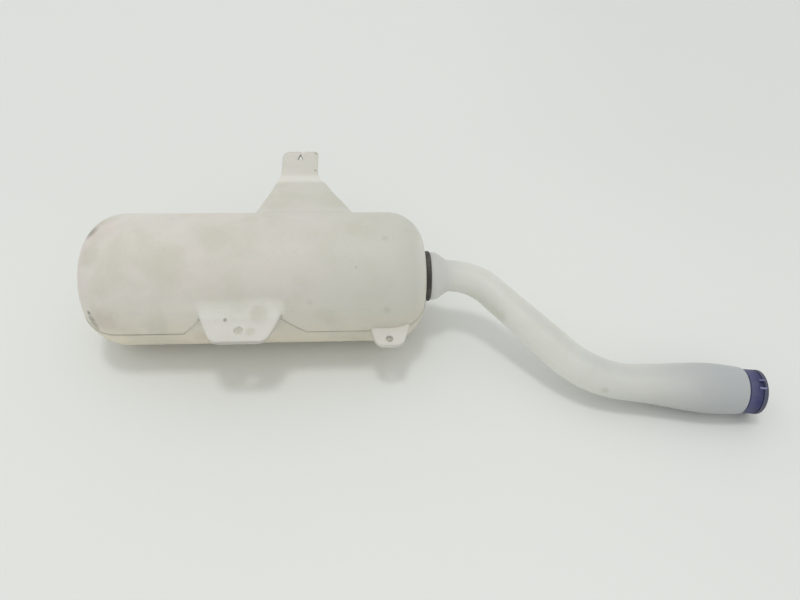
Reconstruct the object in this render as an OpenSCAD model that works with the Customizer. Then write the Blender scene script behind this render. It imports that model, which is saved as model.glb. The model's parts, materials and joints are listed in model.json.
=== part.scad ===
// Washer fluid reservoir lying on its side: a blow-moulded tank with moulded mounting tabs,
// an S-bent filler neck held in a rubber ring, and a push-on cap.
// Millimetres. X runs along the barrel towards the neck, -Y is the front, Z is up, the table is z = 0.
// Tank sizes are measured from the pole of the neck's end, and "reach" runs out from the axis in the seam plane.
// Neck sizes are measured from the flat port land.

/* [Tank] */
// Barrel diameter
tank_d = 130; // [100:1:160]
// Length from end to end
tank_l = 335; // [280:1:400]
// Radius of the rounded end corners
corner_r = 37; // [20:1:45]
// Radius of the shallow domed ends
dome_r = 160; // [110:5:300]
// Moulded wall thickness
wall = 2.8; // [2:0.1:4]
// Lean of the seam plane as the tank lies
tank_lean = 10.3; // [0:0.1:20]
// Height of the seam ridge
seam_h = 0.6; // [0.3:0.1:1]
// Width of the seam ridge
seam_w = 1.2; // [0.6:0.1:2]
// Run of the seam's steps up to the mid bracket, left and right
seam_step = [16, 21]; // [8:1:40]

/* [Neck port] */
// Radius of the flat land around the port
port_land_r = 28; // [26:0.5:34]
// Thickness of the flat land
port_wall = 5; // [3:0.5:8]
// Radius of the port hole
port_r = 20; // [18:0.5:24]

/* [Fin] */
// Left and right edge of the fin where it leaves the barrel
fin_root_x = [-173, -70.5]; // [-300:0.5:-20]
// Reach at which those root edges are given
fin_root_reach = 45; // [30:1:60]
// Left and right edge of the fin at its crease
fin_crease_x = [-158.5, -107]; // [-300:0.5:-20]
// Reach of the crease between fin and tab
fin_crease = 138; // [110:1:145]
// Left and right edge of the fin's tab
fin_tab_x = [-154.5, -113.5]; // [-300:0.5:-20]
// Reach of the tab's tip
fin_tip = 182; // [165:1:200]
// Thickness of the tab
fin_tab_t = 3.5; // [2.5:0.5:8]
// Height at which the fin's faces leave the barrel, as a part of its radius
fin_root_part = 0.75; // [0.6:0.01:0.8]
// Rounding of the fin's long edges
fin_edge_r = 9; // [3:0.5:14]
// Length over which the fin runs into its tab
fin_blend = 26; // [10:1:40]
// Softness of the turn from the fin's faces into its tab
fin_soft = 2.8; // [1:0.1:6]
// Length of solid fin between its hollow and its crease
fin_solid = 22; // [15:1:40]
// Radius of the tip's left and right corner
fin_tip_r = [8, 3.5]; // [2:0.5:10]
// Width of the three-cornered tab hole
fin_hole_w = 7; // [5:0.5:12]
// Height of that hole
fin_hole_h = 9; // [5:0.5:12]
// Distance of the hole's point from the tip
fin_hole_in = 4; // [3:0.5:10]
// Width of the nick in the tip's edge
fin_nick_w = 6; // [3:0.5:10]
// Depth of the nick
fin_nick_d = 2; // [1:0.5:3]

/* [Mid bracket] */
// Left and right edge at the root
mid_root_x = [-218, -140]; // [-300:0.5:-100]
// Reach at which the edges begin to close in
mid_turn = 58; // [50:1:65]
// Left and right edge at the tip
mid_tip_x = [-204, -154]; // [-300:0.5:-100]
// Reach of the tip
mid_tip = 88; // [86:0.5:110]
// Height of the plate's middle above the seam plane
mid_up = 20; // [10:0.5:30]
// Thickness of the plate
mid_t = 5; // [3:0.5:8]
// Height above the seam plane at which the ramp leaves the barrel
mid_ramp_up = 38; // [34:1:50]
// Reach at which the ramp has run into the plate
mid_ramp_end = 71; // [66:0.5:72]
// Rounding of the ramp's long edges
mid_edge_r = 6; // [2:0.5:10]
// Radius of the tip's corners
mid_corner_r = 6; // [3:0.5:10]
// Reach of the bolt hole
mid_hole_reach = 76; // [75:0.5:85]
// Diameter of the bolt hole
mid_hole_d = 9; // [6:0.5:10]

/* [Small tab] */
// Left and right edge at the root
low_root_x = [-59, -20.5]; // [-100:0.5:-10]
// Reach at which the edges begin to close in
low_turn = 60; // [50:1:65]
// Left and right edge at the tip
low_tip_x = [-53.5, -28]; // [-100:0.5:-10]
// Reach of the tip
low_tip = 84.5; // [83:0.5:100]
// Thickness
low_t = 5; // [3:0.5:8]
// Radius of the tip's corners
low_corner_r = 7; // [2:0.5:9]
// Reach of the screw hole
low_hole_reach = 77; // [76:0.5:90]
// Diameter of the screw hole
low_hole_d = 6.5; // [4:0.5:9]

/* [Pump seat] */
// Direction of the seat round the barrel, from the front of the seam plane
seat_dir = 202; // [190:1:230]
// Radius of the pump channel
seat_r = 20; // [16:0.5:24]
// Depth of the channel's middle below the barrel's surface
seat_depth = 15; // [11:0.5:18]
// Distance of the channel from the tank's left end
seat_in = 54; // [46:1:120]
// Length of the channel
seat_l = 100; // [70:1:140]
// Radius of the outlet hole
outlet_r = 9; // [7:0.5:11]
// Bore radius of the outlet's rubber ring
outlet_bore_r = 5.5; // [4:0.25:7]
// Flange width of the outlet's rubber ring beyond its hole
outlet_lip = 3; // [2:0.5:5]
// Flange thickness of the outlet's rubber ring
outlet_flange = 3; // [2:0.5:5]

/* [Neck ring] */
// Flange radius of the neck's rubber ring
ring_r = 25.5; // [23:0.5:28]
// Flange thickness outside the tank
ring_out = 5.5; // [3:0.5:8]
// Lip thickness inside the tank
ring_in = 4; // [2:0.5:6]
// Lip width beyond the port hole
ring_lip = 3; // [2:0.5:6]
// Rounding of the flange's edges
ring_edge_r = 1.5; // [0.5:0.1:2.5]

/* [Filler neck] */
// Radius of the tube at its start
tube_r = 16; // [13:0.5:20]
// Radius of the tube in its second bend
tube_r2 = 17.75; // [16:0.25:22]
// Radius of the mouth at its widest
mouth_r = 24.2; // [21:0.1:28]
// Radius of the mouth at its end
mouth_end_r = 22.4; // [20.5:0.1:24]
// Place of its widest ring, as a part of its length
mouth_bulge = 0.7; // [0.5:0.01:0.85]
// Wall thickness
tube_wall = 2.5; // [1.5:0.1:4]
// Length of the spigot inside the tank
spigot = 9; // [6:1:20]
// Lead-in of the spigot and the rim, along the tube
lead_l = 3; // [1:0.5:5]
// Depth of that lead-in
lead_d = 1; // [0.5:0.1:1.5]
// Radius of the flange that sits on the rubber ring
flange_r = 24.25; // [20:0.25:28]
// Thickness of that flange
flange_t = 5; // [3:0.5:8]
// Length of the cone behind the flange
flange_cone = 14; // [8:0.5:20]
// Centre radius of the first bend
bend1_r = 58.5; // [45:0.5:120]
// Angle of the first bend
bend1_a = 47.9; // [30:0.1:60]
// Length of the straight between the bends
run_l = 91.5; // [40:0.5:120]
// Centre radius of the second bend
bend2_r = 96.5; // [60:0.5:140]
// Angle of the second bend
bend2_a = 42; // [20:0.1:60]
// Length of the widening mouth
mouth_l = 106.7; // [60:0.1:140]
// Rounding of the mouth's end
mouth_edge_r = 1.2; // [0.5:0.1:2]
// Outer radius of the rim that the cap goes on
rim_r = 17.5; // [15:0.25:20]
// Length of that rim
rim_l = 13.2; // [8:0.1:16]

/* [Cap] */
// Radius of the skirt
cap_r = 21.1; // [20:0.1:24]
// Radius of the outer rim
cap_rim_r = 21.2; // [20:0.1:24]
// Length of the cap
cap_l = 17.8; // [16.5:0.1:24]
// Thickness of the cap's top
cap_top = 3; // [2:0.5:5]
// Width of the groove behind the rim
cap_groove_w = 1.3; // [0.8:0.1:3]
// Depth of the groove behind the rim
cap_groove_d = 0.7; // [0.4:0.1:1.5]
// Thickness of the outer rim
cap_rim_t = 4.4; // [3:0.1:5]
// Depth of the dished top
cap_dish = 0.8; // [0.4:0.1:1.5]
// Rounding of the rim's outer edge
cap_round = 1.6; // [0.5:0.1:2.5]
// Width of the flat ring round the dish
cap_land = 2.2; // [1:0.1:4]
// Edge of the skirt's open end
cap_edge = 0.6; // [0.3:0.1:1]
// Length of the grip lugs
lug_l = 6.2; // [4:0.1:8]
// Width of one lug
lug_w = 1.8; // [1.2:0.1:3]
// Distance of a lug from the middle of its pair
lug_gap = 3.6; // [2:0.1:5]
// Height of the lugs above the rim
lug_h = 0.7; // [0.3:0.1:1.5]
// Distance of the lugs from the cap's end
lug_in = 2.6; // [2:0.1:4]
// Depth of the notch between the lugs
notch_d = 2; // [1:0.1:2.4]
// Length of the notch
notch_l = 4.6; // [3:0.1:6]
// Distance of the notch from the cap's end
notch_in = 3.6; // [2:0.1:5]

/* [Fits] */
// Gap between parts that move on each other
run_gap = 0.4; // [0.2:0.05:0.8]
// Gap round parts that are pushed together
push_gap = 0.05; // [0:0.01:0.2]
// Step in the tube's wall where a straight runs into a bend
join_step = 0.15; // [0.05:0.05:0.3]

/* [Hidden] */
$fn = 96;
tank_r = tank_d / 2;
eps = 0.5;
// Overlap of solids that are joined, and overshoot of cuts
lap = 1;
over = 2;
// Points on each rounded corner of a lug's ring
ring_n = 4;
// Middle of the end corners, from the end's pole
corner_x = dome_r - sqrt(pow(dome_r - corner_r, 2) - pow(tank_r - corner_r, 2));
// Depth of the flat port land below the end's pole
port_in = dome_r - sqrt(dome_r * dome_r - port_land_r * port_land_r);
// Neck: straight start, then the places where each stretch ends, in the neck's own plane
neck_x0 = ring_out + flange_t + flange_cone;
head_a = bend1_a - bend2_a;
neck_x1 = neck_x0 + bend1_r * sin(bend1_a);
neck_w1 = bend1_r * (1 - cos(bend1_a));
neck_x2 = neck_x1 + run_l * cos(bend1_a);
neck_w2 = neck_w1 + run_l * sin(bend1_a);
neck_x3 = neck_x2 + bend2_r * (sin(bend1_a) - sin(head_a));
neck_w3 = neck_w2 + bend2_r * (cos(head_a) - cos(bend1_a));
neck_x4 = neck_x3 + mouth_l * cos(head_a);
neck_w4 = neck_w3 + mouth_l * sin(head_a);
// The mouth lies on the table a little past its widest ring, which sets the neck's dip
rest_t = mix(mouth_bulge, 1, 0.3);
rest_w = neck_w3 + mouth_l * rest_t * sin(head_a);
neck_dip = asin((tank_r - mouth_at(rest_t)) / rest_w);
// Cap
cap_gap = run_gap;
cap_bore = rim_r + run_gap;
cap_in = cap_gap + cap_l - cap_top;
// Fin: where its faces leave the barrel, their slope, and their distance from the axis
fin_up = fin_root_part * tank_r;
fin_out = sqrt(tank_r * tank_r - fin_up * fin_up);
fin_slope = atan((fin_up - fin_tab_t / 2) / (fin_crease - fin_out));
fin_off = fin_out * sin(fin_slope) + fin_up * cos(fin_slope);
// Pump channel
seat_off = tank_r - seat_depth;
seat_x = seat_in - tank_l;
// Box of the whole, for an origin at its bottom centre
box_x0 = -tank_l - seam_h;
box_x1 = -port_in + neck_x4 + (cap_gap + cap_l) * cos(head_a) + cap_rim_r * sin(head_a);
box_y0 = -(neck_w4 + (cap_gap + cap_l) * sin(head_a)) * cos(neck_dip) - cap_rim_r;
box_y1 = fin_tip * cos(tank_lean) + fin_tab_t / 2 * sin(tank_lean);
mid_x = (box_x0 + box_x1) / 2;
mid_y = (box_y0 + box_y1) / 2;

// Placing

// From the pole on the barrel's axis to the lying pose
module lying() {
  translate([-mid_x, -mid_y, tank_r]) children();
}

module in_tank() {
  lying() rotate([tank_lean, 0, 0]) children();
}

module in_neck() {
  lying() translate([-port_in, 0, 0]) rotate([neck_dip, 0, 0]) children();
}

module at_run() {
  translate([neck_x1, -neck_w1, 0]) rotate([0, 0, -bend1_a]) children();
}

module at_bend2() {
  translate([neck_x2, -neck_w2, 0]) rotate([0, 0, -bend1_a]) children();
}

module at_mouth() {
  translate([neck_x3, -neck_w3, 0]) rotate([0, 0, -head_a]) children();
}

module at_rim() {
  translate([neck_x4, -neck_w4, 0]) rotate([0, 0, -head_a]) children();
}

// A turned shape whose axis is X
module along_x(from) {
  translate([from, 0, 0]) rotate([0, 90, 0]) children();
}

module rod(from, len, r, r_end) {
  along_x(from) cylinder(h = len, r1 = r, r2 = r_end);
}

// Tank body, grown by d on every side

// Points of one end from the barrel to its pole, with the pole at 0
function head_points(d) =
  let (
    lean = asin((tank_r - corner_r) / (dome_r - corner_r)),
    n = 12
  )
  concat(
    [for (i = [0:n]) let (t = (90 - lean) * i / n)
      [tank_r - corner_r + (corner_r + d) * cos(t), -corner_x + (corner_r + d) * sin(t)]],
    [for (i = [1:5]) let (t = lean * (1 - i / 5)) [(dome_r + d) * sin(t), -dome_r + (dome_r + d) * cos(t)]]
  );

module body(d) {
  half = head_points(d);
  n = len(half);
  along_x(0) rotate_extrude() polygon(concat(
    half,
    [for (i = [n - 1:-1:0]) [half[i][0], -tank_l - half[i][1]]]
  ));
}

// Moulded lugs: a loft through corner-rounded rings, each given as
// [reach, left, right, bottom, top, corner radius]; side is 1 behind the barrel and -1 in front

function lug_ring(s, d, side) =
  let (
    r = min(s[5] + d, (s[2] - s[1]) / 2 + d - 0.05, (s[4] - s[3]) / 2 + d - 0.05),
    mid = [[s[2] + d - r, s[4] + d - r], [s[1] - d + r, s[4] + d - r],
      [s[1] - d + r, s[3] - d + r], [s[2] + d - r, s[3] - d + r]]
  )
  [for (k = [0:3], i = [0:ring_n]) let (t = 90 * (k + i / ring_n))
    [mid[k][0] + r * cos(t), side * s[0], mid[k][1] + r * sin(t)]];

module lug(rings, d, side) {
  n = 4 * (ring_n + 1);
  last = len(rings) - 1;
  faces = concat(
    [[for (j = [n - 1:-1:0]) j]],
    [for (i = [0:last - 1], j = [0:n - 1], half = [0, 1]) let (k = (j + 1) % n)
      half == 0 ? [i * n + j, i * n + k, (i + 1) * n + k] : [i * n + j, (i + 1) * n + k, (i + 1) * n + j]],
    [[for (j = [0:n - 1]) last * n + j]]
  );
  polyhedron(
    [for (s = rings) each lug_ring(s, d, side)],
    side > 0 ? faces : [for (f = faces) [for (m = [len(f) - 1:-1:0]) f[m]]]
  );
}

function mix(a, b, t) = a + (b - a) * t;

function ease(a, b, v) = let (t = max(0, min(1, (v - a) / (b - a)))) t * t * (3 - 2 * t);

// How far a rounded tip corner has drawn in at this reach
function tip_in(tip, r, v) = v <= tip - r ? 0 : r - sqrt(max(0, r * r - pow(v - tip + r, 2)));

function tip_steps(tip, r) = [for (i = [0:4]) tip - r * (1 - sin(22.5 * i))];

// Fin: a hollow wedge that runs out of the barrel into a flat tab

function fin_half(v) =
  let (d = (fin_off - v * sin(fin_slope)) / cos(fin_slope) - fin_tab_t / 2)
  fin_tab_t / 2 + (d + sqrt(d * d + fin_soft * fin_soft)) / 2;

function fin_edge(k, v) =
  mix(
    mix(fin_root_x[k], fin_crease_x[k], (v - fin_root_reach) / (fin_crease - fin_root_reach)),
    fin_tab_x[k],
    ease(fin_crease - fin_blend / 2, fin_crease + fin_blend / 2, v)
  );

function fin_ring(v) =
  let (h = fin_half(v), draw = [for (r = fin_tip_r) tip_in(fin_tip, r, v)])
  [v, fin_edge(0, v) + draw[0], fin_edge(1, v) - draw[1], -h, h, min(fin_edge_r, 0.8 * h)];

module fin() {
  low = tank_r * 0.2;
  turn = fin_crease - fin_blend / 2;
  lug([for (v = concat(
    [for (i = [0:7]) mix(low, turn, i / 8)],
    [for (i = [0:7]) mix(turn, fin_crease + fin_blend / 2, i / 7)],
    tip_steps(fin_tip, max(fin_tip_r))
  )) fin_ring(v)], 0, 1);
}

module fin_hollow() {
  low = tank_r * 0.15;
  end = fin_crease - fin_solid;
  lug([for (i = [0:6]) fin_ring(mix(low, end, i / 6))], -wall, 1);
}

module fin_cuts() {
  mid = (fin_tab_x[0] + fin_tab_x[1]) / 2;
  w = fin_nick_w / 2;
  translate([0, 0, -2 * fin_tab_t]) linear_extrude(4 * fin_tab_t) {
    translate([mid, fin_tip - fin_hole_in])
      polygon([[0, 0], [-fin_hole_w / 2, -fin_hole_h], [fin_hole_w / 2, -fin_hole_h]]);
    translate([mid + w, fin_tip])
      polygon([[-w, eps], [-w / 3, -fin_nick_d], [w / 3, -fin_nick_d], [w, eps]]);
  }
}

// Front lugs: edges that run straight from the root, then close in to the tip

function front_edge(root, turn, end, tip, v) = mix(root, end, max(0, v - turn) / (tip - turn));

// Mid bracket: a plate above the seam plane with a ramp up the barrel
module mid_bracket() {
  low = mid_up - mid_t / 2;
  top = mid_up + mid_t / 2;
  v0 = sqrt(tank_r * tank_r - mid_ramp_up * mid_ramp_up);
  lug([for (v = concat(
    [mix(tank_r / 2, v0, 0.3)],
    [for (i = [0:7]) mix(v0, mid_ramp_end, i / 7)],
    tip_steps(mid_tip, mid_corner_r)
  )) let (
    up = top + (mid_ramp_up - top - eps) * pow(max(0, (mid_ramp_end - v) / (mid_ramp_end - v0)), 2),
    high = v < v0 ? mid_ramp_up - eps : up,
    draw = tip_in(mid_tip, mid_corner_r, v),
    edge = [for (k = [0, 1]) front_edge(mid_root_x[k], mid_turn, mid_tip_x[k], mid_tip, v)]
  ) [v, edge[0] + draw, edge[1] - draw, low, high, min(mid_edge_r, 0.4 * (high - low))]], 0, -1);
}

module small_tab() {
  lug([for (v = concat(
    [tank_r * 0.6, low_turn, mix(low_turn, low_tip - low_corner_r, 0.5)],
    tip_steps(low_tip, low_corner_r)
  )) let (
    draw = tip_in(low_tip, low_corner_r, v),
    edge = [for (k = [0, 1]) front_edge(low_root_x[k], low_turn, low_tip_x[k], low_tip, v)]
  ) [v, edge[0] + draw, edge[1] - draw, 0, low_t, 0.3 * low_t]], 0, -1);
}

// Seam ridge: straight behind, and stepping up to the mid bracket in front

module seam_front(p, q) {
  along = (q - p) / norm(q - p);
  side = [-along[1], along[0]] * seam_w / 2;
  rotate([90, 0, 0]) linear_extrude(tank_r + over) polygon([p - side, q - side, q + side, p + side]);
}

module seam() {
  left = mid_root_x[0] - seam_step[0];
  right = mid_root_x[1] + seam_step[1];
  intersection() {
    body(seam_h);
    union() {
      translate([-tank_l - over, 0, -seam_w / 2]) cube([tank_l + 2 * over, tank_r + over, seam_w]);
      seam_front([-tank_l - over, 0], [left, 0]);
      seam_front([left, 0], [mid_root_x[0] + over, mid_up]);
      seam_front([mid_root_x[1] - over, mid_up], [right, 0]);
      seam_front([right, 0], [over, 0]);
    }
  }
}

// Pump seat: a channel along the hidden side, with the outlet in its left end

module seat_place() {
  rotate([-seat_dir, 0, 0]) translate([0, -seat_off, 0]) children();
}

module seat_channel(d) {
  run = seat_l + 2 * d;
  r = seat_r + d;
  seat_place() {
    rod(seat_x - d, run, r, r);
    translate([seat_x - d, -tank_r, -r]) cube([run, tank_r, 2 * r]);
  }
}

// Nodes

module tank() {
  color([0.8, 0.79, 0.75]) in_tank() difference() {
    union() {
      body(0);
      fin();
      mid_bracket();
      small_tab();
      seam();
    }
    difference() {
      union() {
        body(-wall);
        fin_hollow();
      }
      rod(-port_in - port_wall, port_in + port_wall + over, port_land_r, port_land_r);
      seat_channel(wall);
    }
    seat_channel(0);
    fin_cuts();
    rod(-port_in, port_in + over, port_land_r + lap, port_land_r + lap);
    rod(-port_in - port_wall - over, port_in + port_wall + 2 * over, port_r, port_r);
    seat_place() rod(seat_x - wall - over, wall + 2 * over, outlet_r, outlet_r);
    translate([(mid_tip_x[0] + mid_tip_x[1]) / 2, -mid_hole_reach, mid_up - mid_t])
      cylinder(h = 4 * mid_t, d = mid_hole_d);
    translate([(low_tip_x[0] + low_tip_x[1]) / 2, -low_hole_reach, -low_t])
      cylinder(h = 4 * low_t, d = low_hole_d);
  }
}

module neck_grommet() {
  back = port_wall + ring_in;
  bore = tube_r + push_gap;
  color([0.12, 0.12, 0.11]) in_neck() difference() {
    union() {
      along_x(0) rotate_extrude() polygon(concat(
        [[0, 0]],
        round_corner(ring_r, 0, ring_edge_r, -1),
        round_corner(ring_r, ring_out, ring_edge_r, 1),
        [[0, ring_out]]
      ));
      rod(-back, back + lap, port_r - push_gap, port_r - push_gap);
      rod(-back, ring_in, port_r, port_r + ring_lip);
    }
    rod(-back - lap, back + ring_out + 2 * lap, bore, bore);
  }
}

// Points of a turned outline's rounded outer corner; end is -1 at its first face and 1 at its last
function round_corner(r, at, edge, end) =
  [for (i = [0:4]) let (t = end > 0 ? 22.5 * i : 90 - 22.5 * i)
    [r - edge * (1 - cos(t)), at - end * edge * (1 - sin(t))]];

// A turned tube: outline from the first station to the last, as station and radius, with the wall inside it
module turned(outer, inner) {
  along_x(0) rotate_extrude() polygon(concat(
    [for (p = outer) [p[1], p[0]]],
    [for (i = [len(inner) - 1:-1:0]) [inner[i][1], inner[i][0]]]
  ));
}

module bend(centre_r, angle, r) {
  rotate_extrude(angle = angle) translate([centre_r, 0]) difference() {
    circle(r + join_step);
    circle(r - tube_wall - join_step);
  }
}

// The mouth swells to its widest ring and draws in again to its end
function mouth_at(t) =
  t < mouth_bulge
    ? let (u = t / mouth_bulge) tube_r2 + (mouth_r - tube_r2) * (u + (1 - cos(180 * u)) / 2) / 2
    : let (u = (t - mouth_bulge) / (1 - mouth_bulge)) mouth_r - (mouth_r - mouth_end_r) * (1 - cos(90 * u));

// The cone behind the flange, a little rounded where it leaves the flange and where it meets the tube
function cone_at(t) = mix(flange_r, tube_r, (t + ease(0, 1, t)) / 2);

module filler_neck() {
  start = -port_wall - ring_in - spigot;
  seat = ring_out + flange_t;
  in1 = tube_r - tube_wall;
  in2 = tube_r2 - tube_wall;
  in3 = rim_r - tube_wall;
  color([0.81, 0.81, 0.79]) in_neck() {
    turned(
      concat(
        [[start, tube_r - lead_d], [start + lead_l, tube_r], [ring_out, tube_r], [ring_out, flange_r]],
        [for (i = [0:8]) [seat + flange_cone * i / 8, cone_at(i / 8)]],
        [[neck_x0 + lap, tube_r]]
      ),
      [[start, in1], [neck_x0 + lap, in1]]
    );
    translate([neck_x0, -bend1_r, 0]) rotate([0, 0, 90 - bend1_a]) bend(bend1_r, bend1_a, tube_r);
    at_run() turned([[-lap, tube_r], [lap, tube_r], [run_l - lap, tube_r2], [run_l + lap, tube_r2]],
      [[-lap, in1], [lap, in1], [run_l - lap, in2], [run_l + lap, in2]]);
    at_bend2() translate([0, bend2_r, 0]) rotate([0, 0, -90]) bend(bend2_r, bend2_a, tube_r2);
    at_mouth() turned(
      concat(
        [[-lap, tube_r2]],
        [for (i = [1:24]) let (t = i / 25) [mouth_l * t, mouth_at(t)]],
        [for (p = round_corner(mouth_end_r, mouth_l, mouth_edge_r, 1)) [p[1], p[0]]],
        [[mouth_l, rim_r], [mouth_l + rim_l - lead_d, rim_r], [mouth_l + rim_l, rim_r - lead_d]]
      ),
      concat(
        [[-lap, in2]],
        [for (i = [2:2:22]) let (t = i / 25) [mouth_l * t, mouth_at(t) - tube_wall]],
        [[mouth_l - over, in3], [mouth_l + rim_l, in3]]
      )
    );
  }
}

module filler_cap() {
  groove = cap_l - cap_rim_t - cap_groove_w;
  land_r = cap_rim_r - cap_round - cap_land;
  color([0.2, 0.21, 0.32]) in_neck() at_rim() difference() {
    union() {
      along_x(cap_gap) rotate_extrude() polygon(concat(
        [[0, 0], [cap_r - cap_edge, 0], [cap_r, cap_edge], [cap_r, groove]],
        [for (x = [groove, cap_l - cap_rim_t]) [cap_r - cap_groove_d, x]],
        [[cap_rim_r, cap_l - cap_rim_t]],
        round_corner(cap_rim_r, cap_l, cap_round, 1),
        [[land_r, cap_l], [land_r - cap_dish, cap_l - cap_dish], [0, cap_l - cap_dish]]
      ));
      for (side = [-1, 1])
        translate([cap_gap + cap_l - lug_l - lug_in, side * lug_gap - lug_w / 2, cap_bore + lap])
          cube([lug_l, lug_w, cap_rim_r + lug_h - cap_bore - lap]);
    }
    translate([cap_gap + cap_l - notch_l - notch_in, -lug_gap + lug_w / 2, cap_rim_r - notch_d])
      cube([notch_l, 2 * lug_gap - lug_w, notch_d + lap]);
    rod(cap_gap - lap, cap_in - cap_gap + lap, cap_bore, cap_bore);
  }
}

module cap_seal() {
  color([0.15, 0.15, 0.15]) in_neck() at_rim() difference() {
    rod(rim_l + push_gap, cap_in - rim_l - push_gap, cap_bore - push_gap, cap_bore - push_gap);
    rod(rim_l - lap, cap_in, rim_r - tube_wall, rim_r - tube_wall);
  }
}

module pump_grommet() {
  back = seat_x - wall - outlet_flange;
  color([0.12, 0.12, 0.11]) in_tank() seat_place() difference() {
    union() {
      rod(seat_x, outlet_flange, outlet_r + outlet_lip, outlet_r + outlet_lip);
      rod(back, wall + outlet_flange + lap, outlet_r - push_gap, outlet_r - push_gap);
      rod(back, outlet_flange, outlet_r - lap, outlet_r + outlet_lip - lap);
    }
    rod(back - lap, wall + 2 * (outlet_flange + lap), outlet_bore_r, outlet_bore_r);
  }
}

tank();
neck_grommet();
filler_neck();
filler_cap();
cap_seal();
pump_grommet();
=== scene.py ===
"""Dresses a washer fluid reservoir: an aged milky tank and neck, black rubber rings and a worn blue cap."""

import json
import math

import bmesh
import bpy
from bpy.props import FloatProperty, FloatVectorProperty, IntProperty, PointerProperty
from mathutils import Matrix, Vector

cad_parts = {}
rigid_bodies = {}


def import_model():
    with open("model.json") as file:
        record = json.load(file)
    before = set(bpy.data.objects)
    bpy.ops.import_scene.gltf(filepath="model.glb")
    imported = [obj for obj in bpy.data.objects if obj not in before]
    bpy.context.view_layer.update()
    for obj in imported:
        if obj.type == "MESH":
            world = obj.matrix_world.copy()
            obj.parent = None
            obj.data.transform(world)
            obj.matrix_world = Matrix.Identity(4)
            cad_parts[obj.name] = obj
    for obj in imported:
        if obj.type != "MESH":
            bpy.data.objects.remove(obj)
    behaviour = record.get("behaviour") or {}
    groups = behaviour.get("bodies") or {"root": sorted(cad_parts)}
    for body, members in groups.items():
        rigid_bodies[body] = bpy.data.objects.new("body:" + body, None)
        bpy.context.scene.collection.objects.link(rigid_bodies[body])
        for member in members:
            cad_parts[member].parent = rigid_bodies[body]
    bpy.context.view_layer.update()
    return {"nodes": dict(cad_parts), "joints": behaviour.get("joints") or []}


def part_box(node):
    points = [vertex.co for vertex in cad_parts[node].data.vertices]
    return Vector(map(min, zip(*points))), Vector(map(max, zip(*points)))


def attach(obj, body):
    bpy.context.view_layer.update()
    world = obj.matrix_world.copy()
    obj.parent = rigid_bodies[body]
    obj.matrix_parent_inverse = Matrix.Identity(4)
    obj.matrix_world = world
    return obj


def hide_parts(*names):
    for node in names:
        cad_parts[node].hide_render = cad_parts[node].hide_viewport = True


bl_info = {
    "name": "Washer Fluid Reservoir",
    "version": (1, 0, 0),
    "blender": (4, 5, 0),
    "location": "View3D > Sidebar > Reservoir",
    "description": "Dresses a washer fluid tank with its filler neck, rubber rings and cap",
    "category": "Object",
}

for leftover in list(bpy.data.objects):
    bpy.data.objects.remove(leftover)
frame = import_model()
MM = 0.001


def tone(red, green, blue):
    """A colour in levels of 0 to 255, as the linear values that a shader takes."""
    parts = [c / 255 for c in (red, green, blue)]
    return [c / 12.92 if c <= 0.04045 else ((c + 0.055) / 1.055) ** 2.4 for c in parts]


# Settings


def colour(label, words, value):
    return FloatVectorProperty(
        name=label, description=words, subtype="COLOR", size=3, min=0, max=1, default=tone(*value))


def length(label, words, value):
    return FloatProperty(
        name=label, description=words, subtype="DISTANCE", unit="LENGTH", default=value * MM, precision=5)


def share(label, words, value):
    return FloatProperty(name=label, description=words, subtype="FACTOR", min=0, max=1, default=value)


def turn(label, words, value):
    return FloatProperty(
        name=label, description=words, subtype="ANGLE", unit="ROTATION", default=math.radians(value))


def position(label, words, value):
    return FloatVectorProperty(
        name=label, description=words, subtype="TRANSLATION", unit="LENGTH", size=3, default=value)


class TankSettings(bpy.types.PropertyGroup):
    clean: colour("Clean Plastic", "Milky plastic where it has kept its colour", (210, 207, 199))
    dull: colour("Dull Plastic", "Greyer plastic towards the neck's end", (196, 196, 187))
    aged: colour("Aged Plastic", "Clouds that have turned greenish yellow", (183, 182, 164))
    blush: colour("Blush", "Faint pinkish clouds in the plastic", (211, 202, 197))
    # Painted light: the lower side is made paler, standing in for light through the thin wall
    painted_underglow: colour("Underside", "Lower side, where light comes through the thin wall", (225, 217, 197))
    tab: colour("Tab Plastic", "Whiter plastic of the thick tabs", (205, 204, 198))
    # Also painted light: the barrel's end at the neck is made paler with this colour
    pale: colour("Pale Plastic", "Palest places, where the bracket runs into the barrel", (222, 221, 213))
    # Painted light round the bracket's hole and on the barrel behind it
    lit: colour("Lit Edge", "Plastic round the bracket's hole, lit from behind", (246, 245, 238))
    brown: colour("Brown Stain", "Rust-brown stains", (176, 158, 142))
    grime: colour("Grime", "Dirt rubbed into the plastic", (104, 101, 88))
    port_depth: length("Port Depth", "From the barrel's end to the inner end of the neck's ring", 11.5)
    lean: turn("Seam Lean", "Turn of the moulding seam about the barrel", 10.3)
    smooth: turn("Smooth Under", "Edges flatter than this are shaded as one surface", 32)
    wear: share("Wear", "How strongly the stains and scuffs show", 0.8)


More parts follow.
